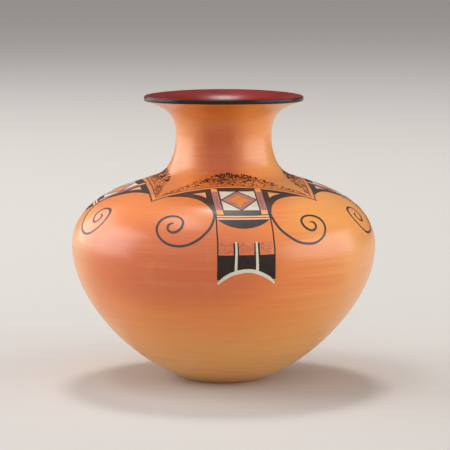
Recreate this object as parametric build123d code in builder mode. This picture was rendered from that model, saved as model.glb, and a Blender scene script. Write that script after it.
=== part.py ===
from build123d import *

import os
from math import radians, tan

# A coil-built pottery jar: a base pressed in a dish, nine courses of coiled clay lapped one on the
# next, and the two coats laid on at the mouth. Millimetres; +Z is up, the jar turns about Z, and
# the origin is the middle of the flat foot.

# Outside of the wall at its five stations, from the foot up to the lip
foot_radius = 27.0
belly_radius = 105.0
belly_height = 92.5
shoulder_radius = 44.0
shoulder_height = 142.0
throat_radius = 33.0
throat_height = 168.6
lip_radius = 54.3
lip_height = 193.5

# Degrees above the horizontal at which the wall leaves the foot, crosses the shoulder and ends
foot_slope = 20.5
shoulder_slope = 30.0
lip_slope = 21.0

# How far the wall holds its direction below and above each station
foot_reach = 46.5
belly_reach_below = 32.5
belly_reach_above = 37.0
shoulder_reach_below = 12.0
shoulder_reach_above = 6.0
throat_reach_below = 15.5
throat_reach_above = 19.5
lip_reach = 8.8

# The clay thins steadily up the wall, from the floor to the lip
floor_thickness = 6.5
lip_thickness = 2.6

# The base's share of the wall, measured up its outside, and how far each lap climbs inside the wall
base_rise = 45.0
lap_climb = 3.5
course_names = [
    "lower_coil_1",
    "lower_coil_2",
    "lower_coil_3",
    "belly_coil",
    "shoulder_coil_1",
    "shoulder_coil_2",
    "neck_coil_1",
    "neck_coil_2",
    "rim_coil",
]

# Red slip inside the mouth, the dark band on the lip's edge, and how far both lie off the clay
slip_thickness = 0.3
band_thickness = 0.6
band_chamfer = 0.4
coat_clearance = 0.1


def heading(degrees):
    """Unit vector in the section plane: 0 points away from the axis, 90 points up."""
    return Vector(1, 0).rotate(Axis.Z, degrees)


def wall_curve(start, start_heading, start_reach, end, end_heading, end_reach):
    """Draws a stretch of the wall's outside that leaves and arrives along the given headings."""
    leaving = Vector(start) + heading(start_heading) * start_reach
    arriving = Vector(end) - heading(end_heading) * end_reach
    return Bezier(start, leaving, arriving, end)


# The outside of the wall, from the foot to the lip
foot = (foot_radius, 0)
belly = (belly_radius, belly_height)
shoulder = (shoulder_radius, shoulder_height)
throat = (throat_radius, throat_height)
lip = (lip_radius, lip_height)
with BuildLine() as outside:
    wall_curve(foot, foot_slope, foot_reach, belly, 90, belly_reach_below)
    wall_curve(belly, 90, belly_reach_above, shoulder, 180 - shoulder_slope, shoulder_reach_below)
    wall_curve(shoulder, 180 - shoulder_slope, shoulder_reach_above, throat, 90, throat_reach_below)
    wall_curve(throat, 90, throat_reach_above, lip, lip_slope, lip_reach)
wall = outside.wires()[0]


def inner_point(rise, extra=0.0):
    """The point straight in from the outside, on the wall's inside or extra beyond it. Past the lip's
    lower edge the inside runs straight on."""
    share = min(rise / wall.length, 1)
    along = wall % share
    past_lip = along * max(rise - wall.length, 0)
    thickness = floor_thickness + (lip_thickness - floor_thickness) * share
    return (wall @ share) + past_lip + along.rotate(Axis.Z, 90) * (thickness + extra)


def outer_curve(lower, upper):
    """Draws the outside of a course between two rises: that stretch of the wall's own curve."""
    stretch = wall.trim(lower / wall.length, upper / wall.length)
    add(stretch)
    return stretch


def inner_arc(lower, upper, extra=0.0):
    """Draws the inside of a course between two rises, or a face extra beyond it."""
    middle = inner_point((lower + upper) / 2, extra)
    return ThreePointArc(inner_point(lower, extra), middle, inner_point(upper, extra))


# Where the courses meet on the outside and on the inside: laps climb inwards, and the inside runs past
# the lip's lower edge, which leaves the lip's face upright
course_rise = (wall.length - base_rise) / len(course_names)
outer_laps = [base_rise + index * course_rise for index in range(len(course_names) + 1)]
lip_overhang = lip_thickness * tan(radians(lip_slope))
inner_laps = [rise + lap_climb for rise in outer_laps[:-1]] + [wall.length + lip_overhang]

os.makedirs("parts", exist_ok=True)

# Base, pressed flat in a dish, with the first of the wall
with BuildPart() as base:
    with BuildSketch(Plane.XZ):
        with BuildLine():
            outer = outer_curve(0, outer_laps[0])
            inner = inner_arc(0, inner_laps[0])
            Line(outer @ 1, inner @ 1)
            floor_top = (0, (inner @ 0).Y)
            Polyline(outer @ 0, (0, 0), floor_top, inner @ 0)
        make_face()
    revolve(axis=Axis.Z)
base.part.label = "base"
export_step(base.part, "parts/base.step")

# Courses of coiled clay, each lapped on the one below
for index, name in enumerate(course_names):
    with BuildPart() as course:
        with BuildSketch(Plane.XZ):
            with BuildLine():
                outer = outer_curve(outer_laps[index], outer_laps[index + 1])
                inner = inner_arc(inner_laps[index], inner_laps[index + 1])
                Line(outer @ 0, inner @ 0)
                Line(outer @ 1, inner @ 1)
            make_face()
        revolve(axis=Axis.Z)
    course.part.label = name
    export_step(course.part, f"parts/{name}.step")

# Red slip, over the inside of the rim's coil
with BuildPart() as mouth_slip:
    with BuildSketch(Plane.XZ):
        with BuildLine():
            back = inner_arc(inner_laps[-2], inner_laps[-1], coat_clearance)
            face = inner_arc(inner_laps[-2], inner_laps[-1], coat_clearance + slip_thickness)
            Line(back @ 0, face @ 0)
            Line(back @ 1, face @ 1)
        make_face()
    revolve(axis=Axis.Z)
mouth_slip.part.label = "mouth_slip"
export_step(mouth_slip.part, "parts/mouth_slip.step")

# Dark band round the lip's edge, eased at its two outer corners
with BuildPart() as rim_band:
    with BuildSketch(Plane.XZ) as band_section:
        with BuildLine():
            outwards = heading(0)
            low_edge = (wall @ 1) + outwards * coat_clearance
            high_edge = inner_point(inner_laps[-1]) + outwards * coat_clearance
            depth = outwards * band_thickness
            Polyline(low_edge, low_edge + depth, high_edge + depth, high_edge, close=True)
        make_face()
        outer_corners = band_section.vertices().sort_by(Axis.X)[-2:]
        chamfer(outer_corners, band_chamfer)
    revolve(axis=Axis.Z)
rim_band.part.label = "rim_band"
export_step(rim_band.part, "parts/rim_band.step")
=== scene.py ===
import math
import random
from bisect import bisect_right
from itertools import accumulate
from typing import NamedTuple

import bmesh
import bpy
from bpy.props import FloatProperty, FloatVectorProperty, IntProperty, PointerProperty
from bpy.types import Operator, Panel, PropertyGroup
from mathutils import Color, Euler, Matrix, Vector, noise
from mathutils.geometry import interpolate_bezier


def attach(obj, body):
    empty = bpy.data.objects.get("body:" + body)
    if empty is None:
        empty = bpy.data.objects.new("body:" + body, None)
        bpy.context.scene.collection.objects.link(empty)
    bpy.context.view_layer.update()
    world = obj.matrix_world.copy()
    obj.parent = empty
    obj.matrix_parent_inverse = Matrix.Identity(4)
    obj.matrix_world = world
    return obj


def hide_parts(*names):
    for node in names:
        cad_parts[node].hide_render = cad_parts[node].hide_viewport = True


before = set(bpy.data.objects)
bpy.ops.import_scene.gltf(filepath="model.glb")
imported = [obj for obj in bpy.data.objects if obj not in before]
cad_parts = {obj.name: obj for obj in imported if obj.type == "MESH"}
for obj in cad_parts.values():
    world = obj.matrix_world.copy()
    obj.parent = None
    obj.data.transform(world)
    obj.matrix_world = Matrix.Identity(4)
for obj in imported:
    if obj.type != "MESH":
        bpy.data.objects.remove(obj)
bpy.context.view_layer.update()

bl_info = {
    "name": "Painted Coil Jar",
    "version": (1, 0, 0),
    "blender": (4, 5, 0),
    "location": "View3D > Sidebar > Jar",
    "description": "Dresses the solids of a coil-built jar: burnished clay, slip and painted ornament",
    "category": "Add Mesh",
}

MM = 0.001
BODY = "root"
COATS = ("mouth_slip", "rim_band")
CLAY_NODES = [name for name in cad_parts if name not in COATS]

# How thick a film of paint is, and how high above the clay each one's upper face lies, first laid to last
FILM = 0.12 * MM
GROUND = 0.05 * MM
SECOND = 0.08 * MM
LINES = 0.10 * MM
OVER = 0.13 * MM

# How far the grounds and the half moon, and then the stripes, reach past the edge of the paint beside them,
# so that no clay shows between the two
MARGIN = 0.3 * MM
STRIPE_MARGIN = 0.4 * MM

# The feather block hangs under the first panel and under each one so many further round
FEATHERED = 2

# Steps of a full turn for the wall and for the coats, the size of a drawing's cells, and how near to each
# other vertices merge
WALL_STEPS = 240
COAT_STEPS = 192
CELL = 2.5 * MM
MERGE = MM / 1000


# Properties


def length(name, millimetres, description):
    """A length that a user may change, given in millimetres."""
    return FloatProperty(name=name, description=description, default=millimetres * MM, unit="LENGTH")


def angle(name, degrees, description):
    """An angle that a user may change, given in degrees."""
    return FloatProperty(name=name, description=description, default=math.radians(degrees), subtype="ANGLE")


def colour(name, red, green, blue, description):
    """A colour that a user may change, given as it shows on a screen, from 0 to 255."""
    shown = (red / 255, green / 255, blue / 255)
    return FloatVectorProperty(
        name=name, description=description, default=shown, subtype="COLOR_GAMMA", min=0.0, max=1.0
    )


class JarShape(PropertyGroup):
    """Sizes of the clay wall, with the same stations as the solids, and of its coats."""

    foot_radius: length("Foot radius", 27.0, "Radius of the flat foot")
    belly_radius: length("Belly radius", 105.0, "Radius at the widest place")
    belly_height: length("Belly height", 92.5, "Height of the widest place")
    shoulder_radius: length("Shoulder radius", 44.0, "Radius where the shoulder turns into the neck")
    shoulder_height: length("Shoulder height", 142.0, "Height where the shoulder turns into the neck")
    throat_radius: length("Throat radius", 33.0, "Radius at the narrowest of the neck")
    throat_height: length("Throat height", 168.6, "Height of the narrowest of the neck")
    lip_radius: length("Lip radius", 54.3, "Radius of the lip's lower edge")
    lip_height: length("Lip height", 193.5, "Height of the lip's lower edge")
    foot_slope: angle("Foot slope", 20.5, "How steeply the wall leaves the foot")
    shoulder_slope: angle("Shoulder slope", 30.0, "How steeply the shoulder climbs to the neck")
    lip_slope: angle("Lip slope", 21.0, "How steeply the lip ends")
    foot_reach: length("Foot reach", 46.5, "How far the wall holds its direction above the foot")
    belly_reach_below: length("Reach below belly", 32.5, "How far the wall holds upright below the belly")
    belly_reach_above: length("Reach above belly", 37.0, "How far the wall holds upright above the belly")
    shoulder_reach_below: length("Reach below shoulder", 12.0, "How far the shoulder holds its slope below")
    shoulder_reach_above: length("Reach above shoulder", 6.0, "How far the shoulder holds its slope above")
    throat_reach_below: length("Reach below throat", 15.5, "How far the neck holds upright below the throat")
    throat_reach_above: length("Reach above throat", 19.5, "How far the neck holds upright above the throat")
    lip_reach: length("Lip reach", 8.8, "How far the lip holds its slope")
    floor_thickness: length("Floor thickness", 6.5, "Thickness of the clay at the foot")
    lip_thickness: length("Lip thickness", 2.6, "Thickness of the clay at the lip")
    slip_depth: length("Slip depth", 22.3, "How far the red slip reaches down inside the mouth")
    slip_thickness: length("Slip thickness", 0.4, "Height of the red slip's face over the clay")
    band_thickness: length("Band thickness", 0.6, "How far the rim's dark band stands out from the lip")
    band_rounding: length("Band rounding", 0.5, "Radius of the dark band's outer edges")
    hand_swell: length("Hand swell", 0.3, "How far the hand-shaped wall wanders from a true round")
    lip_sag: length("Lip sag", 1.0, "How far the lip sank at its two sides while the clay was soft")


class JarOrnament(PropertyGroup):
    """Sizes of the painted ornament, measured along the wall from a panel's middle and from the belly."""

    panels: IntProperty(name="Panels", description="How often the panel repeats round the jar", default=4)
    panel_turn: angle("Panel turn", 8.0, "Where the first panel's middle lies, to the right of the front")
    frame_turn: angle("Frame turn", -0.7, "How far the neck frame is turned against the panels")
    frame_half_side: length("Frame half side", 55.5, "From the axis to the outer side of the frame's stripe")
    frame_bow: length("Frame bow", 0.8, "How far a side of the neck frame bows out between its corners")
    frame_line: length("Frame line", 0.9, "Width of the neck frame's outer dark line")
    frame_inner_line: length("Frame inner line", 0.6, "Width of the neck frame's inner dark line")
    frame_stripe: length("Frame stripe", 2.4, "Width of the stripe between the neck frame's lines")
    stipple_half_side: length("Stipple half side", 39.5, "From the axis to the stipple's upper edge")
    stipple_half_top: length("Stipple half top", 21.0, "Half the length of the stipple's upper edge")
    box_half_width: length("Box half width", 11.8, "Half the width of the box in the panel")
    box_top: length("Box top", 66.2, "Height of the box's upper edge")
    box_bottom: length("Box bottom", 41.4, "Height of the box's lower edge")
    diamond_line: length("Diamond line", 0.9, "Width of the dark lines round the diamond")
    column_inner: length("Column inner side", 12.7, "From the panel's middle to the near side of a column")
    column_outer: length("Column outer side", 17.2, "From the panel's middle to the far side of a column")
    square_height: length("Square height", 4.4, "Height of the squares at the ends of the columns")
    star_half_width: length("Star half width", 7.3, "From the star's middle to a side point")
    star_half_height: length("Star half height", 8.0, "From the star's middle to its top point")
    bar_height: length("Bar height", 5.6, "Height of the bar over the box")
    bar_bottom: length("Bar bottom", 36.7, "Height of the lower edge of the bar under the box")
    stripe_width: length("Stripe width", 1.45, "Width of the two pale stripes under the box")
    stripe_line: length("Stripe line", 0.8, "Width of the dark lines beside the pale stripes")
    moon_depth: length("Half moon depth", 7.5, "Depth of the half moon under the stripes")
    side_line: length("Side line", 0.85, "Width of the lines down the panel's sides")
    block_top: length("Block top", 6.4, "Height of the upper edge of the feather block")
    block_half_width: length("Block half width", 19.0, "Half the width of the feather block")
    arc_radius: length("Arc radius", 24.5, "Radius of the pale arc under the feather block")
    arc_crown: length("Arc crown", -4.0, "Height of the pale arc's middle at its crown")
    arc_width: length("Arc width", 2.4, "Width of the pale arc")
    feather_offset: length("Feather offset", 7.0, "From the panel's middle to a pale feather bar")
    feather_top: length("Feather top", 15.0, "Height of the top of the pale feather bars")
    feather_width: length("Feather width", 1.9, "Width of the pale feather bars")
    feather_edge: length("Feather edge", 1.1, "Width of the dark edges of the feather bars")
    stroke_width: length("Stroke width", 1.6, "Width of the spirals' brush stroke")
    flecks: IntProperty(name="Flecks", description="Flecks of stipple on each frame side", default=600)
    fleck_size: length("Fleck size", 0.62, "Half the length of a usual fleck of stipple")
    hand_wander: length("Hand wander", 0.25, "How far a painted edge wanders from its drawing")


class JarColours(PropertyGroup):
    """Colours of the clay, the slip, the paints and the floor."""

    clay: colour("Clay", 226, 124, 54, "Burnished clay")
    # Fire-reddened clay, laid deeper on the left of the front as painted shade between the highlights
    clay_blush: colour("Blush", 200, 92, 46, "Clay where the fire reddened it")
    # Fire-gold clay, also laid as painted light along the limbs, low down and on the neck's sides
    clay_gold: colour("Gold", 232, 156, 76, "Clay where the fire left it golden")
    # Painted shade: darker clay down the middle of the neck, between the lamps' highlights
    clay_neck_shade: colour("Deep", 186, 80, 8, "Clay of the neck, away from the fire")
    # Painted light: paler clay low on the jar, standing in for the floor's bounce
    clay_foot_painted_light: colour("Foot", 255, 192, 106, "Clay low on the jar, paler than the rest")
    clay_inside: colour("Inside", 176, 104, 66, "Plain clay inside the jar")
    red_slip: colour("Red slip", 122, 19, 9, "Slip inside the mouth")
    dark_paint: colour("Dark paint", 50, 40, 38, "Lines, bars and masses of the ornament")
    block_paint: colour("Block paint", 36, 20, 16, "Feather block")
    stipple_paint: colour("Stipple paint", 50, 26, 20, "Thick flecks of the stipple")
    fleck_paint: colour("Fleck paint", 150, 90, 84, "Flecks over the feather block")
    stipple_thin: colour("Thin stipple paint", 164, 90, 52, "Thin flecks of the stipple")
    cream_paint: colour("Cream paint", 208, 201, 180, "Box, arc and feather bars")
    mauve_paint: colour("Mauve paint", 178, 117, 111, "Diamond and columns")
    orange_paint: colour("Orange paint", 216, 134, 62, "Star")
    ground_paint: colour("Ground paint", 230, 158, 102, "Squares and triangles")
    stripe_paint: colour("Stripe paint", 214, 134, 76, "Stripe of the frame")
    peach_paint: colour("Peach paint", 236, 176, 140, "Pale stripes")
    rim_paint: colour("Rim paint", 26, 9, 4, "Band on the lip")
    floor: colour("Floor", 191, 186, 181, "Studio floor")


# Numbers


def clamp(value, low=0.0, high=1.0):
    """A value held between two others."""
    return min(max(value, low), high)


def smooth_step(value):
    """Rises smoothly from 0 to 1 as a value does."""
    share = clamp(value)
    return share * share * (3 - 2 * share)


def spread(start, end, steps):
    """Evenly spaced values from a start to an end."""
    return [start + (end - start) * index / steps for index in range(steps + 1)]


# The wall in section


def heading(slope):
    """Unit vector in the section plane: 0 points away from the axis, a right angle points up."""
    return Vector((math.cos(slope), 0.0, math.sin(slope)))


class Wall:
    """The outside of the jar's wall in section, measured by the length climbed from the foot."""

    STRETCH_POINTS = 240

    def __init__(self, shape):
        self.shape = shape
        upright = math.pi / 2
        climbing = math.pi - shape.shoulder_slope
        foot = Vector((shape.foot_radius, 0.0, 0.0))
        belly = Vector((shape.belly_radius, 0.0, shape.belly_height))
        shoulder = Vector((shape.shoulder_radius, 0.0, shape.shoulder_height))
        throat = Vector((shape.throat_radius, 0.0, shape.throat_height))
        lip = Vector((shape.lip_radius, 0.0, shape.lip_height))
        self.points = [foot]
        self.stretch(foot, shape.foot_slope, shape.foot_reach, belly, upright, shape.belly_reach_below)
        belly_index = len(self.points) - 1
        self.stretch(belly, upright, shape.belly_reach_above, shoulder, climbing, shape.shoulder_reach_below)
        self.stretch(
            shoulder, climbing, shape.shoulder_reach_above, throat, upright, shape.throat_reach_below
        )
        throat_index = len(self.points) - 1
        self.stretch(throat, upright, shape.throat_reach_above, lip, shape.lip_slope, shape.lip_reach)
        steps = [(after - before).length for before, after in zip(self.points, self.points[1:])]
        self.climbs = [0.0, *accumulate(steps)]
        self.length = self.climbs[-1]
        self.inner_length = self.length + shape.lip_thickness * math.tan(shape.lip_slope)
        self.belly_climb = self.climbs[belly_index]
        self.shoulder_climbs = self.climbs[belly_index:throat_index]
        self.shoulder_radii = [-point.x for point in self.points[belly_index:throat_index]]

    def stretch(self, start, leaving, start_reach, end, arriving, end_reach):
        """Adds a stretch that leaves and arrives along the given slopes."""
        first_handle = start + heading(leaving) * start_reach
        last_handle = end - heading(arriving) * end_reach
        self.points += interpolate_bezier(start, first_handle, last_handle, end, self.STRETCH_POINTS)[1:]

    def at(self, climb):
        """The point of the section at a climb from the foot, and the direction straight out of the wall."""
        index = clamp(bisect_right(self.climbs, climb), 1, len(self.climbs) - 1)
        before, after = self.points[index - 1], self.points[index]
        share = (climb - self.climbs[index - 1]) / (self.climbs[index] - self.climbs[index - 1])
        along = (after - before).normalized()
        return before.lerp(after, share), Vector((along.z, 0.0, -along.x))

    def inside(self, climb, extra=0.0):
        """The point straight in from the outside, on the wall's inside or extra beyond it. Past the lip's
        lower edge the inside runs straight on, which leaves the lip's face upright."""
        reached = min(climb, self.length)
        point, outward = self.at(reached)
        past_lip = Vector((-outward.z, 0.0, outward.x)) * (climb - reached)
        thinning = self.shape.lip_thickness - self.shape.floor_thickness
        thickness = self.shape.floor_thickness + thinning * reached / self.length
        return point + past_lip - outward * (thickness + extra)

    def climb_at_radius(self, radius):
        """The climb at which the shoulder has narrowed to a radius."""
        index = clamp(bisect_right(self.shoulder_radii, -radius), 1, len(self.shoulder_radii) - 1)
        wide, narrow = self.shoulder_radii[index - 1], self.shoulder_radii[index]
        share = (-radius - wide) / (narrow - wide)
        return self.shoulder_climbs[index - 1] * (1 - share) + self.shoulder_climbs[index] * share

    def swell(self, point):
        """How far the hand-shaped wall stands off a true round: nothing at the foot and the neck."""
        from_foot = clamp(point.z / (25 * MM))
        from_neck = clamp((self.shape.shoulder_height - point.z) / (30 * MM))
        return noise.noise(point * 16.0) * self.shape.hand_swell * from_foot * from_neck

    def settle(self, builder):
        """Lets the mouth of a finished piece sink: most at its left and right, nothing below the throat."""
        low, high = self.shape.throat_height, self.shape.lip_height
        for vert in builder.verts:
            across = vert.co.xy.length_squared
            aside = vert.co.x * vert.co.x / across if across else 0.0
            vert.co.z -= self.shape.lip_sag * aside * smooth_step((vert.co.z - low) / (high - low))

    def place(self, turn, climb, lift):
        """The point at a turn from the front, a climb from the foot and a lift off the outside."""
        point, outward = self.at(climb)
        about = Matrix.Rotation(turn - math.pi / 2, 3, "Z")
        return about @ (point + outward * (lift + self.swell(about @ point)))


# Flat drawings of the ornament: x across the panel, y up the wall from the belly, z the film's upper face


def smooth_line(points, steps=8):
    """Points of a smooth curve that passes through the given ones."""
    knots = [Vector(point) for point in points]
    last = len(knots) - 1
    line = [knots[0]]
    for index in range(last):
        before, start = knots[max(index - 1, 0)], knots[index]
        end, after = knots[index + 1], knots[min(index + 2, last)]
        handles = start + (end - before) / 6, end - (after - start) / 6
        line += interpolate_bezier(start, *handles, end, steps)[1:]
    return line


def millimetres(points):
    """The points of a drawing in metres."""
    return [Vector(point) * MM for point in points]


def arc(centre, radius, start, end, steps=16):
    """Points round a centre, between two turns from straight up towards the right."""
    turns = spread(start, end, steps)
    return [centre + radius * Vector((math.sin(turn), math.cos(turn))) for turn in turns]


def fill(drawing, outline, lift):
    """Fills an outline with paint."""
    corners = [drawing.verts.new((point[0], point[1], lift)) for point in outline]
    drawing.faces.new(corners).normal_update()


def fill_box(drawing, left, bottom, right, top, lift):
    """Fills an upright rectangle with paint."""
    fill(drawing, [(left, bottom), (right, bottom), (right, top), (left, top)], lift)


def stroke(drawing, line, widths, lift):
    """Draws a brush stroke along a line, with a width for each of its points."""
    left, right = [], []
    for index, point in enumerate(line):
        ahead = line[min(index + 1, len(line) - 1)] - line[max(index - 1, 0)]
        across = Vector((-ahead.y, ahead.x)).normalized() * widths[index] / 2
        left.append(point + across)
        right.append(point - across)
    fill(drawing, left + right[::-1], lift)


def even_stroke(drawing, line, width, lift):
    """Draws a brush stroke of one width along a line."""
    stroke(drawing, [Vector(point) for point in line], [width] * len(line), lift)


def tapered(width, line, growth, tip=0.35):
    """Widths along a line that thins out at its end: a share at the tip, and more at each point back."""
    return [width * min(1.0, tip + growth * back) for back in reversed(range(len(line)))]


def fleck(drawing, place, half_length, lift, rng, tone=1.0):
    """Sets down an uneven fleck: dark at a tone of 1, thin at 0, and in the feather flecks' paint at -1."""
    layer = drawing.verts.layers.float.get("tone") or drawing.verts.layers.float.new("tone")
    shape = Matrix.Diagonal((1.0, rng.uniform(0.45, 0.9), 1.0, 1.0))
    turn = Matrix.Rotation(rng.uniform(0.0, math.pi), 4, "Z")
    spot = Matrix.Translation((place[0], place[1], lift))
    made = bmesh.ops.create_circle(
        drawing, cap_ends=True, segments=7, radius=half_length, matrix=spot @ turn @ shape
    )
    uneven = 0.28 * half_length
    for vert in made["verts"]:
        vert.co.x += rng.uniform(-uneven, uneven)
        vert.co.y += rng.uniform(-uneven, uneven)
        vert[layer] = tone


def whole(drawing):
    """All that a drawing is made of."""
    return drawing.verts[:] + drawing.edges[:] + drawing.faces[:]


def mirror_halves(drawing):
    """Adds the left half of a drawing of which only the right half was drawn."""
    bmesh.ops.mirror(drawing, geom=whole(drawing), axis="X", merge_dist=MERGE)


def cut_to_cells(drawing):
    """Cuts a drawing into cells small enough to follow the wall's curves."""
    bmesh.ops.triangulate(drawing, faces=drawing.faces[:], quad_method="BEAUTY", ngon_method="EAR_CLIP")
    for axis in range(2):
        places = [vert.co[axis] for vert in drawing.verts]
        direction = Vector((1.0 - axis, axis, 0.0))
        for index in range(math.ceil(min(places) / CELL), math.floor(max(places) / CELL) + 1):
            plane = {"plane_co": direction * index * CELL, "plane_no": direction}
            bmesh.ops.bisect_plane(drawing, geom=whole(drawing), dist=MERGE, **plane)


def thicken(drawing):
    """Gives a flat drawing the thickness of a film of paint, below its upper face."""
    upside_down = [face for face in drawing.faces if face.normal.z < 0]
    bmesh.ops.reverse_faces(drawing, faces=upside_down)
    made = bmesh.ops.extrude_face_region(drawing, geom=drawing.faces[:], use_keep_orig=True)
    lowered = [item for item in made["geom"] if isinstance(item, bmesh.types.BMVert)]
    bmesh.ops.translate(drawing, verts=lowered, vec=(0.0, 0.0, -FILM))
    bmesh.ops.recalc_face_normals(drawing, faces=drawing.faces[:])


class Frame:
    """The square frame painted round the neck, as it lies in a panel's drawing."""

    def __init__(self, wall, sizes):
        self.wall = wall
        self.turn = sizes.frame_turn
        self.bow = sizes.frame_bow
        self.half_side = sizes.frame_half_side
        self.corner = math.pi / sizes.panels

    def height_at(self, turn):
        """The height of the frame's outer side at a turn from the panel's middle."""
        from_corner = (turn - self.turn + self.corner) % (2 * self.corner)
        return self.at(self.half_side, from_corner - self.corner).y

    def at(self, half_side, turn):
        """The point of a frame's side at a turn from the side's middle."""
        bowed = half_side - self.bow * (turn / self.corner) ** 2
        radius = bowed / math.cos(turn)
        climb = self.wall.climb_at_radius(radius)
        return Vector(((turn + self.turn) * radius, climb - self.wall.belly_climb))

    def side(self, half_side, start, end, steps=24):
        """Points along a frame's side, between two turns."""
        return [self.at(half_side, turn) for turn in spread(start, end, steps)]

    def band(self, drawing, outer, inner, lift):
        """Paints a band along a whole side of the frame, mitred at its corners."""
        low = self.side(outer, -self.corner, self.corner)
        high = self.side(inner, self.corner, -self.corner)
        fill(drawing, low + high, lift)


class Hand(NamedTuple):
    """What the painter's hand did with one panel: how its lines slope where they climb the shoulder, how far
    its box and what hangs below are turned aside, how far it is narrowed and how far its foot is raised."""

    slope: float = 0.0
    box_turn: float = 0.0
    turn: float = 0.0
    narrowing: float = 0.0
    rise: float = 0.0


# The panel in front, the one to its right, and so on round the jar
HANDS = (
    Hand(slope=-0.022, turn=math.radians(0.3)),
    Hand(box_turn=math.radians(-3.5), narrowing=0.07, rise=0.5 * MM),
    Hand(slope=0.010, turn=math.radians(-1.0), narrowing=0.03, rise=0.5 * MM),
    Hand(box_turn=math.radians(-2.5), turn=math.radians(-8.9), rise=1.6 * MM),
)

# How fine the wander of the hand is, how far apart in its noise the panels lie, and the noise's seed
WANDER_SCALE = 110.0
WANDER_APART = 0.1
WANDER_SEED = 5

# How far below the box's top a panel's turn takes over from its box's, how far above the belly its slope
# begins, and the heights over which the turn, the slope and the rise come in
TURN_BELOW = 12 * MM
SLOPE_ABOVE = 15 * MM
TURN_RAMP = 20 * MM
SLOPE_RAMP = 30 * MM
RISE_RAMP = 30 * MM


def lay_on_wall(drawing, wall, sizes, panel, steady):
    """Wraps a drawing round the wall at one of the panels. What meets the neck frame goes on meeting it, and
    a steady hand only slopes its lines, as round the neck."""
    hand = HANDS[panel % len(HANDS)]
    if steady:
        hand = Hand(slope=hand.slope)
    middle = sizes.panel_turn + panel * math.tau / sizes.panels
    neck = Frame(wall, sizes)
    noise.seed_set(WANDER_SEED)
    for vert in drawing.verts:
        drawn = Vector((vert.co.x, vert.co.y, panel * WANDER_APART))
        wander = noise.noise_vector(drawn * WANDER_SCALE) * sizes.hand_wander
        radius = wall.at(wall.belly_climb + drawn.y)[0].x
        frame_height = neck.height_at(drawn.x / radius)
        below_box = smooth_step((sizes.box_top - TURN_BELOW - drawn.y) / TURN_RAMP)
        leaning = hand.box_turn + (hand.turn - hand.box_turn) * below_box
        turn = (drawn.x + wander.x) * (1 - hand.narrowing) / radius + leaning
        free = smooth_step((frame_height - drawn.y) / RISE_RAMP)
        moved = hand.rise * free + (neck.height_at(turn) - frame_height) * (1 - free)
        climbed = smooth_step((drawn.y - SLOPE_ABOVE) / SLOPE_RAMP)
        climb = wall.belly_climb + drawn.y + wander.y + hand.slope * climbed * drawn.x + moved
        vert.co = wall.place(middle + turn, climb, vert.co.z)


# Shader expressions


class Shade:
    """A socket of a node tree. Arithmetic on it adds Math nodes, and add() any other node."""

    def __init__(self, tree, socket=None):
        self.tree = tree
        self.socket = socket

    def add(self, kind, settings=None, sockets=None, output=0):
        """Adds a node of any kind: its settings first, then the values or links of its sockets."""
        node = self.tree.nodes.new(kind)
        for name, setting in (settings or {}).items():
            setattr(node, name, setting)
        for name, value in (sockets or {}).items():
            entry = self.find(node.inputs, name)
            if isinstance(value, Shade):
                self.tree.links.new(value.socket, entry)
            else:
                entry.default_value = value
        return Shade(self.tree, self.find(node.outputs, output) if node.outputs else None)

    @staticmethod
    def find(sockets, name):
        """A socket by its number, or the first one in use that has a name."""
        if isinstance(name, int):
            return sockets[name]
        return next(socket for socket in sockets if socket.enabled and socket.name == name)

    def maths(self, operation, *values):
        """Adds a Math node."""
        return self.add("ShaderNodeMath", {"operation": operation}, dict(enumerate(values)))

    def __add__(self, other):
        return self.maths("ADD", self, other)

    def __radd__(self, other):
        return self.maths("ADD", other, self)

    def __sub__(self, other):
        return self.maths("SUBTRACT", self, other)

    def __rsub__(self, other):
        return self.maths("SUBTRACT", other, self)

    def __mul__(self, other):
        return self.maths("MULTIPLY", self, other)

    def __rmul__(self, other):
        return self.maths("MULTIPLY", other, self)

    def __truediv__(self, other):
        return self.maths("DIVIDE", self, other)

    def __rtruediv__(self, other):
        return self.maths("DIVIDE", other, self)

    def ramp(self, low, high):
        """Rises smoothly from 0 to 1 as this value goes from low to high."""
        settings = {"interpolation_type": "SMOOTHSTEP"}
        return self.add("ShaderNodeMapRange", settings, {"Value": self, "From Min": low, "From Max": high})

    def blend(self, first, second):
        """The first colour where this value is 0, and the second where it is 1."""
        settings = {"data_type": "RGBA"}
        return self.add("ShaderNodeMix", settings, {"Factor": self, "A": first, "B": second}, "Result")

    def axes(self, letters):
        """The parts of this vector along the axes of the given letters."""
        return [self.add("ShaderNodeSeparateXYZ", None, {0: self}, letter) for letter in letters]

    def cloud(self, scale, detail=3.0, roughness=0.5):
        """Cloudy noise from 0 to 1, at the place that this vector gives."""
        sockets = {"Vector": self, "Scale": scale, "Detail": detail, "Roughness": roughness}
        return self.add("ShaderNodeTexNoise", None, sockets)

    def bump(self, strength, depth):
        """The slopes of a surface that rises where this value does."""
        return self.add("ShaderNodeBump", None, {"Strength": strength, "Distance": depth, "Height": self})


def paint(shown, factor=1.0):
    """A colour as shader sockets take it, made darker or lighter by a factor."""
    linear = Color(shown).from_srgb_to_scene_linear() * factor
    return (*[min(part, 1.0) for part in linear], 1.0)


def new_material(name):
    """A material with an empty node tree, and the place on the object for its shader expressions."""
    material = bpy.data.materials.new(name)
    material.use_nodes = True
    material.node_tree.nodes.clear()
    return material, Shade(material.node_tree).add("ShaderNodeTexCoord", None, None, "Object")


def finish_material(shade, sockets):
    """Ends a material's expressions in its surface."""
    surface = shade.add("ShaderNodeBsdfPrincipled", None, sockets)
    shade.add("ShaderNodeOutputMaterial", {"target": "ALL"}, {"Surface": surface})


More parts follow.
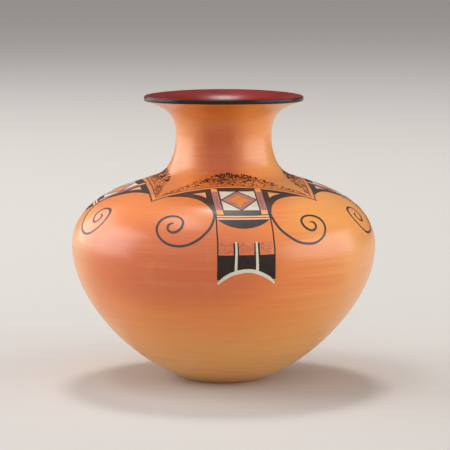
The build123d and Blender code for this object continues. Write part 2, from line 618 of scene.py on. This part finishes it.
def clay_material(colours):
    """Burnished clay: gold to red from the fire, with painted light and shade, streaked by the polishing
    stone, with a satin sheen.
    """
    material, place = new_material("burnished_clay")
    x, y, z = place.axes("XYZ")
    radius = place.maths("SQRT", x * x + y * y + 1e-6)
    climb = place.add("ShaderNodeAttribute", {"attribute_name": "climb"}, None, "Fac")

    def drawn_round(across, up):
        """A place for streaks, which run round the jar: slow across and fast up the wall."""
        parts = {0: x / radius * across, 1: y / radius * across, 2: climb * up}
        return place.add("ShaderNodeCombineXYZ", None, parts)

    streaks = drawn_round(0.9, 380.0).cloud(1.0, 4.0, 0.6)
    fine_streaks = drawn_round(4.0, 1100.0).cloud(1.0, 2.0)
    clouds = place.cloud(9.0, 2.0)
    mottle = place.cloud(60.0, 4.0)

    # Golden on the right side and the right of the shoulder, and painted light: golden along both limbs, low
    # down for the floor's bounce and on the neck's lit sides
    low = 1.0 - z.ramp(0.0, 76 * MM)
    raised = z.ramp(125 * MM, 150 * MM)
    sides = x.ramp(0.0, 95 * MM) * 0.55 + place.maths("ABSOLUTE", x).ramp(74 * MM, 102 * MM) * 0.9
    lobe = x.ramp(15 * MM, 60 * MM) * z.ramp(95 * MM, 120 * MM) * 0.55
    wavering = (clouds - 0.5) * 1.1 + (streaks - 0.5) * 0.6
    gold_and_painted_light = (sides + lobe + low * 0.7 + raised * 0.45 + wavering).ramp(0.1, 1.05)
    body = gold_and_painted_light.blend(paint(colours.clay), paint(colours.clay_gold))
    # Painted light: paler low on the jar for the floor's bounce, streaked by the polishing, and a little
    # paler on the neck
    painted_pale_light = low * (1.35 - streaks * 1.1) + raised * 0.16
    footed = painted_pale_light.blend(body, paint(colours.clay_foot_painted_light))

    # Painted shade: deep, darker clay down the middle of the neck between the lamps' highlights, less of it
    # under the flare
    beside = place.maths("ABSOLUTE", x + 3 * MM).ramp(5 * MM, 24 * MM)
    neck = raised * (1.0 - beside) * (1.0 - z.ramp(168 * MM, 186 * MM) * 0.6)
    neck_shaded = neck.blend(footed, paint(colours.clay_neck_shade))

    # Reddened by the fire round a place on the left of the front, as high as the belly, and deepened there
    # as painted shade between the highlights
    aside = (x + 32 * MM) / (70 * MM)
    aloft = (z - 92 * MM) / (32 * MM)
    flickering = (streaks - 0.5) * 1.6 + (clouds - 0.5) * 0.8
    blush_and_shade = (1.35 - aside * aside - aloft * aloft + flickering).ramp(0.0, 1.2)
    blushed = (blush_and_shade * 0.9).blend(neck_shaded, paint(colours.clay_blush))

    # Streaked and mottled by the polishing
    polished = (fine_streaks * 0.28).blend(blushed, paint(colours.clay_blush, 0.86))
    streaked = (streaks.ramp(0.4, 0.8) * (0.28 - raised * 0.18)).blend(polished, paint(colours.clay_gold))
    mottled = (mottle.ramp(0.55, 0.8) * 0.18).blend(streaked, paint(colours.clay_gold))
    sockets = {
        "Base Color": mottled,
        "Roughness": 0.34 + streaks * 0.08 + mottle * 0.06,
        "Normal": (fine_streaks * 0.7 + mottle * 0.3).bump(0.12, 0.1 * MM),
        "Coat Weight": 0.68 - raised * 0.05,
        "Coat Roughness": 0.24,
        "IOR": 1.45,
        "Specular IOR Level": 0.45,
    }
    finish_material(place, sockets)
    return material


def inside_material(colours):
    """Plain scraped clay inside the jar, dull and a little darker."""
    material, place = new_material("scraped_clay")
    scrape = place.cloud(90.0, 5.0, 0.6)
    base = scrape.ramp(0.3, 0.75).blend(paint(colours.clay_inside, 0.8), paint(colours.clay_inside))
    rough = {"Roughness": 0.75 + scrape * 0.15, "Normal": scrape.bump(0.4, 0.4 * MM)}
    finish_material(place, {"Base Color": base, **rough})
    return material


def slip_material(colours):
    """Red slip, polished inside the mouth."""
    material, place = new_material("polished_red_slip")
    cloud = place.cloud(40.0)
    grain = place.cloud(700.0)
    base = cloud.ramp(0.3, 0.7).blend(paint(colours.red_slip, 0.8), paint(colours.red_slip, 1.15))
    specked = (grain.ramp(0.66, 0.78) * 0.35).blend(base, paint(colours.clay))
    sheen = {"Roughness": 0.25 + cloud * 0.08, "Specular IOR Level": 0.15}
    finish_material(place, {"Base Color": specked, "Normal": grain.bump(0.2, 0.08 * MM), **sheen})
    return material


class Finish(NamedTuple):
    """How a paint lies: how far its tone wavers, how much clay shows, how dull and how glossy it is."""

    thin: float
    worn: float
    roughness: float
    gloss: float = 0.3


# Each paint's finish, by the name of its colour
FINISHES = {
    "dark_paint": Finish(0.22, 0.12, 0.34, 0.6),
    "block_paint": Finish(0.22, 0.12, 0.36),
    "cream_paint": Finish(0.08, 0.1, 0.42, 0.5),
    "mauve_paint": Finish(0.1, 0.15, 0.42),
    "orange_paint": Finish(0.06, 0.1, 0.4),
    "ground_paint": Finish(0.08, 0.1, 0.38),
    "stripe_paint": Finish(0.08, 0.1, 0.38),
    "peach_paint": Finish(0.06, 0.1, 0.42),
    "rim_paint": Finish(0.3, 0.1, 0.2),
}


def paint_material(colours, name):
    """Mineral paint laid on with a brush, of the colour and the finish that have its name."""
    shown, finish = getattr(colours, name), FINISHES[name]
    material, place = new_material(name)
    wash = place.cloud(190.0, 4.0, 0.6)
    grain = place.cloud(1500.0)
    tone = wash.ramp(0.3, 0.7).blend(paint(shown, 1.0 - finish.thin), paint(shown, 1.0 + finish.thin))
    base = (grain.ramp(0.62, 0.75) * finish.worn).blend(tone, paint(colours.clay))
    sheen = {"Roughness": finish.roughness + wash * 0.1, "Specular IOR Level": finish.gloss}
    finish_material(place, {"Base Color": base, "Normal": grain.bump(0.15, 0.05 * MM), **sheen})
    return material


def stipple_material(colours):
    """Dabs of paint, from thin and reddish to thick and dark, and the flecks over the feather block."""
    material, place = new_material("stipple_paint")
    tone = place.add("ShaderNodeAttribute", {"attribute_name": "tone"}, None, "Fac")
    brown = tone.ramp(0.0, 1.0).blend(paint(colours.stipple_thin), paint(colours.stipple_paint))
    base = tone.ramp(-0.9, -0.1).blend(paint(colours.fleck_paint), brown)
    finish_material(place, {"Base Color": base, "Roughness": 0.42, "Specular IOR Level": 0.3})
    return material


# Finished pieces


def put_in_scene(name, data):
    """Puts a new object into the scene."""
    made = bpy.data.objects.new(name, data)
    bpy.context.scene.collection.objects.link(made)
    return made


def new_object(name, builder, materials):
    """Makes an object from a finished bmesh."""
    mesh = bpy.data.meshes.new(name)
    builder.to_mesh(mesh)
    builder.free()
    for material in materials:
        mesh.materials.append(material)
    return put_in_scene(name, mesh)


def new_piece(name, builder, materials, sharp=math.radians(30.0)):
    """Makes a piece that rides on the jar from a finished bmesh."""
    piece = new_object(name, builder, materials)
    piece.data.shade_smooth()
    piece.data.set_sharp_from_angle(angle=sharp)
    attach(piece, BODY)
    return piece


def spin_section(section, steps):
    """Turns a section in the XZ plane about the jar's axis and closes it where it meets the axis."""
    builder = bmesh.new()
    corners = [builder.verts.new(point) for point in section]
    edges = [builder.edges.new(pair) for pair in zip(corners, corners[1:])]
    bmesh.ops.spin(
        builder,
        geom=corners + edges,
        cent=(0.0, 0.0, 0.0),
        axis=(0.0, 0.0, 1.0),
        angle=math.tau,
        steps=steps,
        use_merge=True,
    )
    bmesh.ops.remove_doubles(builder, verts=builder.verts[:], dist=MERGE)
    bmesh.ops.recalc_face_normals(builder, faces=builder.faces[:])
    return builder


def join_films(films):
    """Joins finished drawings into one."""
    joined = bmesh.new()
    scratch = bpy.data.meshes.new("film")
    for film in films:
        film.to_mesh(scratch)
        film.free()
        joined.from_mesh(scratch)
    bpy.data.meshes.remove(scratch)
    bmesh.ops.recalc_face_normals(joined, faces=joined.faces[:])
    return joined


def paint_piece(scene, drawing, name, paint_name, every=1, steady=False):
    """Lays a drawing on every panel, or on each so many further round, and makes one piece of the films."""
    wall = Wall(scene.jar_shape)
    cut_to_cells(drawing)
    thicken(drawing)
    films = []
    for panel in range(0, scene.jar_ornament.panels, every):
        film = drawing.copy()
        lay_on_wall(film, wall, scene.jar_ornament, panel, steady)
        films.append(film)
    drawing.free()
    new_piece(name, join_films(films), [paint_material(scene.jar_colours, paint_name)])


class JAR_OT_clay_wall(Operator):
    """Spin the burnished wall of the jar, outside and inside"""

    bl_idname = "jar.clay_wall"
    bl_label = "Clay Wall"

    ROWS = 190
    INNER_ROWS = 96

    def execute(self, context):
        shape, colours = context.scene.jar_shape, context.scene.jar_colours
        wall = Wall(shape)
        outside = [wall.at(climb)[0] for climb in spread(0.0, wall.length, self.ROWS)]
        inside = [wall.inside(climb) for climb in spread(wall.inner_length, 0.0, self.INNER_ROWS)]
        floor_middle = Vector((0.0, 0.0, inside[-1].z))
        builder = spin_section([Vector(), *outside, *inside, floor_middle], WALL_STEPS)
        for vert in builder.verts:
            vert.co += vert.normal * wall.swell(vert.co)
        wall.settle(builder)
        self.mark_climb(builder, wall)
        for face in builder.faces:
            middle = face.calc_center_median()
            inward = face.normal.xy.dot(middle.xy) < 0
            level = face.normal.z > 0.999
            scraped = (inward or level) and middle.z <= shape.throat_height
            face.material_index = 1 if scraped else 0
        materials = [clay_material(colours), inside_material(colours)]
        piece = new_piece("clay_wall", builder, materials, math.radians(14.0))
        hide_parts(*CLAY_NODES)
        return {"FINISHED"}

    def mark_climb(self, builder, wall):
        """Keeps each vertex's climb, for the polishing streaks."""
        layer = builder.verts.layers.float.new("climb")
        heights = [point.z for point in wall.points]
        for vert in builder.verts:
            index = min(bisect_right(heights, vert.co.z), len(heights) - 1)
            vert[layer] = wall.climbs[index]


class JAR_OT_mouth_slip(Operator):
    """Coat the inside of the mouth with red slip"""

    bl_idname = "jar.mouth_slip"
    bl_label = "Mouth Slip"

    # How far the coat's back lies in the clay
    SUNK = 0.1 * MM
    ROWS = 24

    def execute(self, context):
        shape = context.scene.jar_shape
        wall = Wall(shape)
        climbs = spread(wall.inner_length, wall.inner_length - shape.slip_depth, self.ROWS)
        heights = tapered(shape.slip_thickness, climbs, 0.25, tip=0.2)
        face = [wall.inside(climb, height) for climb, height in zip(climbs, heights)]
        back = [wall.inside(climb, -self.SUNK) for climb in climbs]
        builder = spin_section([*reversed(face), *back, face[-1]], COAT_STEPS)
        wall.settle(builder)
        material = slip_material(context.scene.jar_colours)
        piece = new_piece("mouth_slip_coat", builder, [material])
        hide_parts("mouth_slip")
        return {"FINISHED"}


class JAR_OT_rim_band(Operator):
    """Round the dark band over the edge of the lip"""

    bl_idname = "jar.rim_band"
    bl_label = "Rim Band"

    # How far the band's back lies in the clay and its lower edge hangs below the lip's, and the pull of a
    # rounded corner's handles
    SUNK = 0.3 * MM
    OVERHANG = 0.1 * MM
    ROUNDNESS = 0.55

    def execute(self, context):
        shape = context.scene.jar_shape
        wall = Wall(shape)
        out = Vector((1.0, 0.0, 0.0))
        up = Vector((0.0, 0.0, 1.0))
        behind = out * self.SUNK
        lower = wall.at(wall.length)[0] - up * self.OVERHANG
        upper = wall.inside(wall.inner_length)
        low = lower + out * shape.band_thickness
        high = upper + out * shape.band_thickness
        easing = shape.band_rounding
        face = self.round_corner(low - out * easing, low, low + up * easing)
        face += self.round_corner(high - up * easing, high, high - out * easing)
        builder = spin_section([lower - behind, *face, upper - behind, lower - behind], COAT_STEPS)
        wall.settle(builder)
        material = paint_material(context.scene.jar_colours, "rim_paint")
        piece = new_piece("rim_band_paint", builder, [material])
        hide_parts("rim_band")
        return {"FINISHED"}

    def round_corner(self, before, corner, after):
        """Points of a rounded corner, from the point before it to the one after it."""
        handles = before.lerp(corner, self.ROUNDNESS), after.lerp(corner, self.ROUNDNESS)
        return interpolate_bezier(before, *handles, after, 6)


# The spiral's brush stroke from the foot of its dark mass to its end, and the edge of the lobe above it
SPIRAL = [
    (18.6, 38.5), (19.7, 33.0), (21.5, 28.0), (24.3, 23.3), (28.2, 19.2), (33.0, 15.6), (38.6, 12.9),
    (45.0, 11.8), (51.4, 12.6), (56.7, 15.8), (59.5, 20.6), (59.2, 25.4), (56.2, 29.9), (51.6, 32.9),
    (46.5, 33.9), (42.3, 32.6), (40.5, 29.2), (41.9, 25.0), (45.2, 22.0), (48.9, 21.1), (51.5, 23.0),
    (51.4, 25.8), (49.4, 27.6), (47.0, 28.0),
]
LOBE_EDGE = [
    (50.0, 54.2), (44.0, 55.8), (38.0, 56.3), (33.0, 55.7), (28.6, 54.0), (24.6, 50.7), (21.7, 46.2),
    (20.2, 41.5), (19.5, 37.0),
]

# The pale triangle in the dark mass, with its lower side bent along the lobe
TRIANGLE = [(21.4, 55.9), (24.6, 58.8), (30.2, 60.9), (21.3, 64.0)]


class JAR_OT_dark_paint(Operator):
    """Paint the dark lines, bars, masses and spirals of the ornament"""

    bl_idname = "jar.dark_paint"
    bl_label = "Dark Paint"

    def execute(self, context):
        scene = context.scene
        sizes = scene.jar_ornament
        half = bmesh.new()
        self.draw_mass(half, Frame(Wall(scene.jar_shape), sizes), sizes)
        self.draw_panel(half, sizes)
        self.draw_spiral(half, sizes)
        mirror_halves(half)
        paint_piece(scene, half, "dark_paint", "dark_paint")
        return {"FINISHED"}

    def draw_mass(self, half, neck, sizes):
        """The dark mass between the frame, the column and the lobe."""
        by_column, by_corner = math.radians(17.5), math.radians(40.0)
        top = neck.side(sizes.frame_half_side, by_column, by_corner, 10)
        lobe = smooth_line(millimetres(LOBE_EDGE))
        fill(half, [*top, *lobe, Vector((sizes.column_outer, sizes.bar_bottom))], LINES)

    def draw_panel(self, half, sizes):
        """Bars, outlines and half moon of the panel."""
        fill_box(half, 0.0, sizes.box_top, sizes.column_inner, sizes.box_top + sizes.bar_height, LINES)
        fill_box(half, sizes.box_half_width, sizes.box_bottom, sizes.column_inner, sizes.box_top, LINES)
        fill_box(half, 0.0, sizes.bar_bottom, sizes.column_inner, sizes.box_bottom, LINES)
        point = (sizes.box_half_width, (sizes.box_top + sizes.box_bottom) / 2)
        even_stroke(half, [(0.0, sizes.box_top), point], sizes.diamond_line, LINES)
        even_stroke(half, [point, (0.0, sizes.box_bottom)], sizes.diamond_line, LINES)
        top = sizes.bar_bottom
        for _ in range(2):
            fill_box(half, 0.0, top - sizes.stripe_line, sizes.column_outer + STRIPE_MARGIN, top, LINES)
            top -= sizes.stripe_line + sizes.stripe_width
        reach = sizes.column_outer + MARGIN
        radius = (reach * reach + sizes.moon_depth * sizes.moon_depth) / (2 * sizes.moon_depth)
        centre = Vector((0.0, top - sizes.moon_depth + radius))
        moon = arc(centre, radius, math.pi, math.pi - math.asin(reach / radius))
        fill(half, [Vector((0.0, top)), *moon], LINES)

    def draw_spiral(self, half, sizes):
        """The spiral's brush stroke, drawn out thin at its end."""
        line = smooth_line(millimetres(SPIRAL), 6)
        stroke(half, line, tapered(sizes.stroke_width, line, 1 / 12), LINES)


class JAR_OT_neck_frame(Operator):
    """Paint the square frame round the neck: a stripe between two dark lines"""

    bl_idname = "jar.neck_frame"
    bl_label = "Neck Frame"

    def execute(self, context):
        scene = context.scene
        sizes = scene.jar_ornament
        neck = Frame(Wall(scene.jar_shape), sizes)
        outer = sizes.frame_half_side
        inner = outer - sizes.frame_stripe
        stripe = bmesh.new()
        neck.band(stripe, outer, inner, GROUND)
        paint_piece(scene, stripe, "neck_frame_stripe", "stripe_paint", steady=True)
        lines = bmesh.new()
        neck.band(lines, outer + sizes.frame_line, outer, LINES)
        neck.band(lines, inner, inner - sizes.frame_inner_line, LINES)
        paint_piece(scene, lines, "neck_frame_lines", "dark_paint", steady=True)
        return {"FINISHED"}


class JAR_OT_feather_block(Operator):
    """Hang the feather block under every second panel, with its pale bars and arc"""

    bl_idname = "jar.feather_block"
    bl_label = "Feather Block"

    def execute(self, context):
        scene = context.scene
        sizes = scene.jar_ornament
        centre = Vector((0.0, sizes.arc_crown - sizes.arc_radius))
        dark = bmesh.new()
        self.draw_block(dark, sizes, centre)
        mirror_halves(dark)
        paint_piece(scene, dark, "feather_block", "block_paint", every=FEATHERED)
        pale = bmesh.new()
        self.draw_bars(pale, sizes, centre)
        mirror_halves(pale)
        paint_piece(scene, pale, "feather_bars", "cream_paint", every=FEATHERED)
        return {"FINISHED"}

    def draw_block(self, half, sizes, centre):
        """The dark block over the arc, its side lines and the edges of the bars."""
        side, lean = sizes.block_half_width, 0.9 * MM
        line = [(side - lean, sizes.bar_bottom), (side, sizes.block_top), (side, sizes.arc_crown)]
        even_stroke(half, line, sizes.side_line, LINES)
        under = arc(centre, sizes.arc_radius, 0.0, math.asin(0.85 * side / sizes.arc_radius))
        right = side + sizes.side_line / 2
        corner = under[-1].y + 0.1 * MM
        fill(half, [(0.0, sizes.block_top), *under, (right, corner), (right, sizes.block_top)], LINES)
        for edge in (-1, 1):
            low = (sizes.feather_offset + edge * 0.68 * sizes.feather_width, sizes.block_top)
            high = (sizes.feather_offset + edge * 0.6 * sizes.feather_width, sizes.feather_top - 0.6 * MM)
            even_stroke(half, [low, high], sizes.feather_edge, LINES)

    def draw_bars(self, half, sizes, centre):
        """The pale bars that stand on the pale arc."""
        foot = centre.y + math.sqrt(sizes.arc_radius ** 2 - sizes.feather_offset ** 2)
        bar_top = Vector((sizes.feather_offset - 0.2 * MM, sizes.feather_top))
        bar_widths = [sizes.feather_width, sizes.feather_width * 0.7]
        stroke(half, [Vector((sizes.feather_offset, foot)), bar_top], bar_widths, OVER)
        end = math.asin(sizes.block_half_width / sizes.arc_radius)
        line = arc(centre, sizes.arc_radius, 0.0, end, steps=24)
        stroke(half, line, tapered(sizes.arc_width, line, 0.11), OVER)


class JAR_OT_panel_paints(Operator):
    """Paint the panel's box, diamond, columns, squares, triangles, star and pale stripes"""

    bl_idname = "jar.panel_paints"
    bl_label = "Panel Paints"

    def execute(self, context):
        paints = (
            ("cream_paint", self.draw_box, "clay"),
            ("mauve_paint", self.draw_diamond_and_column, "red_slip"),
            ("ground_paint", self.draw_squares_and_triangle, "clay"),
            ("orange_paint", self.draw_star, "clay"),
            ("peach_paint", self.draw_stripes, "clay"),
        )
        for name, draw, slot in paints:
            half = bmesh.new()
            draw(half, context.scene.jar_ornament)
            mirror_halves(half)
            paint_piece(context.scene, half, name, name)
        return {"FINISHED"}

    def draw_box(self, half, sizes):
        """The ground of the box."""
        right, top = sizes.box_half_width + MARGIN, sizes.box_top + MARGIN
        fill_box(half, 0.0, sizes.box_bottom - MARGIN, right, top, GROUND)

    def draw_diamond_and_column(self, half, sizes):
        """The diamond in the box and the column beside it."""
        middle = (sizes.box_top + sizes.box_bottom) / 2
        fill(half, [(0.0, sizes.box_bottom), (sizes.box_half_width, middle), (0.0, sizes.box_top)], SECOND)
        left, right = sizes.column_inner - MARGIN, sizes.column_outer + MARGIN
        fill_box(half, left, sizes.box_bottom, right, sizes.box_top, GROUND)

    def draw_squares_and_triangle(self, half, sizes):
        """Squares at the column's ends, the upper one sunk and narrower, and the triangle in the mass."""
        sunk = 0.8 * MM
        left, right = sizes.column_inner + 0.2 * MM, sizes.column_outer - 0.4 * MM
        fill_box(half, left, sizes.box_top - sunk, right, sizes.box_top + sizes.square_height - sunk, OVER)
        bottom = sizes.box_bottom - sizes.square_height
        fill_box(half, sizes.column_inner, bottom, sizes.column_outer, sizes.box_bottom, OVER)
        fill(half, millimetres(TRIANGLE), OVER)

    def draw_star(self, half, sizes):
        """A star of four points, drawn in between them and set a little below the box's middle."""
        waist, sunk = 0.36, 0.4 * MM
        middle = Vector((0.0, (sizes.box_top + sizes.box_bottom) / 2 - sunk))
        top = middle + Vector((0.0, sizes.star_half_height))
        bottom = middle - Vector((0.0, sizes.star_half_height))
        point = middle + Vector((sizes.star_half_width, 0.0))
        waist_up = middle + Vector((sizes.star_half_width, sizes.star_half_height)) * waist
        waist_down = middle + Vector((sizes.star_half_width, -sizes.star_half_height)) * waist
        upper = interpolate_bezier(top, waist_up, waist_up, point, 8)
        lower = interpolate_bezier(point, waist_down, waist_down, bottom, 8)
        fill(half, upper + lower[1:], OVER)

    def draw_stripes(self, half, sizes):
        """The two pale stripes under the box."""
        top = sizes.bar_bottom - sizes.stripe_line
        for _ in range(2):
            fill_box(half, 0.0, top - sizes.stripe_width, sizes.column_outer + STRIPE_MARGIN, top, GROUND)
            top -= sizes.stripe_line + sizes.stripe_width


class JAR_OT_stipple(Operator):
    """Dab the stipple in the neck frame, the specks of the columns and the flecks on the feather block"""

    bl_idname = "jar.stipple"
    bl_label = "Stipple"

    SEED = 41

    # The share of dark flecks, how far they spread from the middle, and how near a fleck comes to the frame
    DARK_SHARE = 0.32
    DARK_SPREAD = 14 * MM
    LEAST_RISE = 0.08

    COLUMN_SPECKS = 64
    FEATHER_FLECKS = 210

    def execute(self, context):
        scene = context.scene
        sizes = scene.jar_ornament
        wall = Wall(scene.jar_shape)
        neck = Frame(wall, sizes)
        rng = random.Random(self.SEED)
        films = []
        for panel in range(sizes.panels):
            side = bmesh.new()
            self.dab_side(side, neck, sizes, rng)
            below = bmesh.new()
            self.speck_columns(below, sizes, rng)
            if panel % FEATHERED == 0:
                self.fleck_feathers(below, sizes, rng)
            for film, steady in ((side, True), (below, False)):
                thicken(film)
                lay_on_wall(film, wall, sizes, panel, steady)
                films.append(film)
        stipple = stipple_material(scene.jar_colours)
        new_piece("stipple_paint", join_films(films), [stipple])
        return {"FINISHED"}

    def dab_side(self, drawing, neck, sizes, rng):
        """Flecks between the frame's inner line and the stipple's edge: thin ones all over, dark ones
        crowded under the middle of the edge."""
        low = sizes.frame_half_side - sizes.frame_stripe - sizes.frame_inner_line
        end = 0.93 * low
        for index in range(sizes.flecks):
            dark = index < sizes.flecks * self.DARK_SHARE
            across = rng.gauss(0.0, self.DARK_SPREAD) if dark else rng.uniform(-0.95, 0.95) * low
            across = clamp(across, -end, end)
            past_top = max(abs(across) - sizes.stipple_half_top, 0.0) / (low - sizes.stipple_half_top)
            reach = (low - sizes.stipple_half_side) * (1 - past_top)
            share = 1.0 - abs(rng.gauss(0.0, 0.34)) if dark else rng.uniform(self.LEAST_RISE, 0.98)
            half_side = low - reach * max(share, self.LEAST_RISE)
            half_length = sizes.fleck_size * (rng.uniform(0.9, 1.9) if dark else rng.uniform(0.65, 1.2))
            tone = rng.uniform(0.65, 1.0) if dark else rng.uniform(0.0, 0.6)
            place = neck.at(half_side, math.atan2(across, half_side))
            fleck(drawing, place, half_length, LINES, rng, tone)

    def speck_columns(self, drawing, sizes, rng):
        """Fine specks on the mauve columns."""
        for side in (-1, 1):
            for _ in range(self.COLUMN_SPECKS):
                across = rng.uniform(sizes.column_inner + 0.5 * MM, sizes.column_outer - 0.4 * MM)
                place = side * across, rng.uniform(sizes.box_bottom + 0.6 * MM, sizes.box_top - 1.4 * MM)
                fleck(drawing, place, 0.26 * MM * rng.uniform(0.7, 1.2), LINES, rng)

    def fleck_feathers(self, drawing, sizes, rng):
        """Sparse thin flecks over the feather block, clear of its bars."""
        for _ in range(self.FEATHER_FLECKS):
            across = rng.uniform(-1.0, 1.0) * (sizes.block_half_width - 1.4 * MM)
            place = across, sizes.block_top + rng.uniform(0.9 * MM, 8.2 * MM)
            if abs(abs(across) - sizes.feather_offset) > 2.4 * MM:
                fleck(drawing, place, rng.uniform(0.2, 0.45) * MM, GROUND, rng, -1.0)


class JAR_OT_stage(Operator):
    """Set up the floor, the studio light and the camera"""

    bl_idname = "jar.stage"
    bl_label = "Stage"

    def execute(self, context):
        scene = context.scene
        self.add_floor(scene)
        self.light_world(scene)
        self.add_softbox("left_softbox", around=-126.0, up=14.0, distance=3.3, size=(2.4, 2.7), power=44.0)
        self.add_softbox("left_fill", around=-92.0, up=18.0, distance=3.3, size=(1.9, 2.8), power=56.0)
        self.add_softbox("upper_softbox", around=-86.0, up=72.0, distance=3.6, size=(1.8, 0.8), power=20.0)
        self.add_softbox("right_softbox", around=82.0, up=11.0, distance=3.3, size=(4.2, 2.4), power=80.0)
        self.add_softbox("back_softbox", around=181.0, up=66.0, distance=3.9, size=(0.75, 0.9), power=63.0)
        self.add_camera(scene)
        scene.view_settings.view_transform = "Standard"
        return {"FINISHED"}

    def add_floor(self, scene):
        """A pale floor that reaches past the picture."""
        builder = bmesh.new()
        bmesh.ops.create_grid(builder, x_segments=8, y_segments=8, size=16.0)
        material, place = new_material("studio_floor")
        finish_material(place, {"Base Color": paint(scene.jar_colours.floor), "Roughness": 0.85})
        floor = new_object("floor", builder, [material])

    def light_world(self, scene):
        """Soft light from all round, more of it from above and from the front."""
        world = bpy.data.worlds.new("studio")
        scene.world = world
        world.use_nodes = True
        world.node_tree.nodes.clear()
        looking = Shade(world.node_tree).add("ShaderNodeTexCoord", None, None, "Generated")
        away, up = looking.axes("YZ")
        strength = 0.13 + up.ramp(0.0, 0.9) * 0.14 + (0.0 - away).ramp(-0.5, 0.8) * 0.75
        sockets = {"Color": (1.0, 1.0, 1.0, 1.0), "Strength": strength}
        background = looking.add("ShaderNodeBackground", None, sockets)
        looking.add("ShaderNodeOutputWorld", {"target": "ALL"}, {"Surface": background})

    def add_softbox(self, name, around, up, distance, size, power):
        """A softbox that faces the jar's middle, so many degrees to the right of the camera and up."""
        light = bpy.data.lights.new(name, "AREA")
        light.shape = "RECTANGLE"
        light.size, light.size_y = size
        light.energy = power
        lamp = put_in_scene(name, light)
        swing = Euler((math.radians(-up), 0.0, math.radians(around))).to_matrix()
        out = swing @ Vector((0.0, -distance, 0.0))
        jar_middle = Vector((0.0, 0.0, 0.1))
        lamp.location = jar_middle + out
        lamp.rotation_euler = (-out).to_track_quat("-Z", "Y").to_euler()

    def add_camera(self, scene):
        """A long lens in front of the jar, a little above it and looking down."""
        lens = bpy.data.cameras.new("camera")
        lens.lens = 195.58
        lens.sensor_width = 36.0
        lens.shift_x = 0.0030
        camera = put_in_scene("camera", lens)
        camera.location = (0.0, -1.680, 0.3113)
        camera.rotation_euler = Euler((math.radians(90.0 - 6.967), 0.0, 0.0))
        scene.camera = camera


OPERATORS = (
    JAR_OT_clay_wall,
    JAR_OT_mouth_slip,
    JAR_OT_rim_band,
    JAR_OT_neck_frame,
    JAR_OT_panel_paints,
    JAR_OT_dark_paint,
    JAR_OT_feather_block,
    JAR_OT_stipple,
    JAR_OT_stage,
)


class JAR_PT_sidebar(Panel):
    """The jar's pieces and the sizes and colours that they take"""

    bl_idname = "JAR_PT_sidebar"
    bl_label = "Painted Coil Jar"
    bl_space_type = "VIEW_3D"
    bl_region_type = "UI"
    bl_category = "Jar"

    def draw(self, context):
        for operator in OPERATORS:
            self.layout.operator(operator.bl_idname)
        for group in (context.scene.jar_shape, context.scene.jar_ornament, context.scene.jar_colours):
            column = self.layout.box().column()
            for name in group.__annotations__:
                column.prop(group, name)


GROUPS = {"jar_shape": JarShape, "jar_ornament": JarOrnament, "jar_colours": JarColours}


def register():
    for name, group in GROUPS.items():
        bpy.utils.register_class(group)
        setattr(bpy.types.Scene, name, PointerProperty(type=group))
    for shown in (*OPERATORS, JAR_PT_sidebar):
        bpy.utils.register_class(shown)


def unregister():
    for shown in (JAR_PT_sidebar, *reversed(OPERATORS)):
        bpy.utils.unregister_class(shown)
    for name, group in GROUPS.items():
        delattr(bpy.types.Scene, name)
        bpy.utils.unregister_class(group)


def main():
    register()
    bpy.ops.jar.clay_wall()
    bpy.ops.jar.mouth_slip()
    bpy.ops.jar.rim_band()
    bpy.ops.jar.neck_frame()
    bpy.ops.jar.panel_paints()
    bpy.ops.jar.dark_paint()
    bpy.ops.jar.feather_block()
    bpy.ops.jar.stipple()
    bpy.ops.jar.stage()


if __name__ == "__main__":
    main()
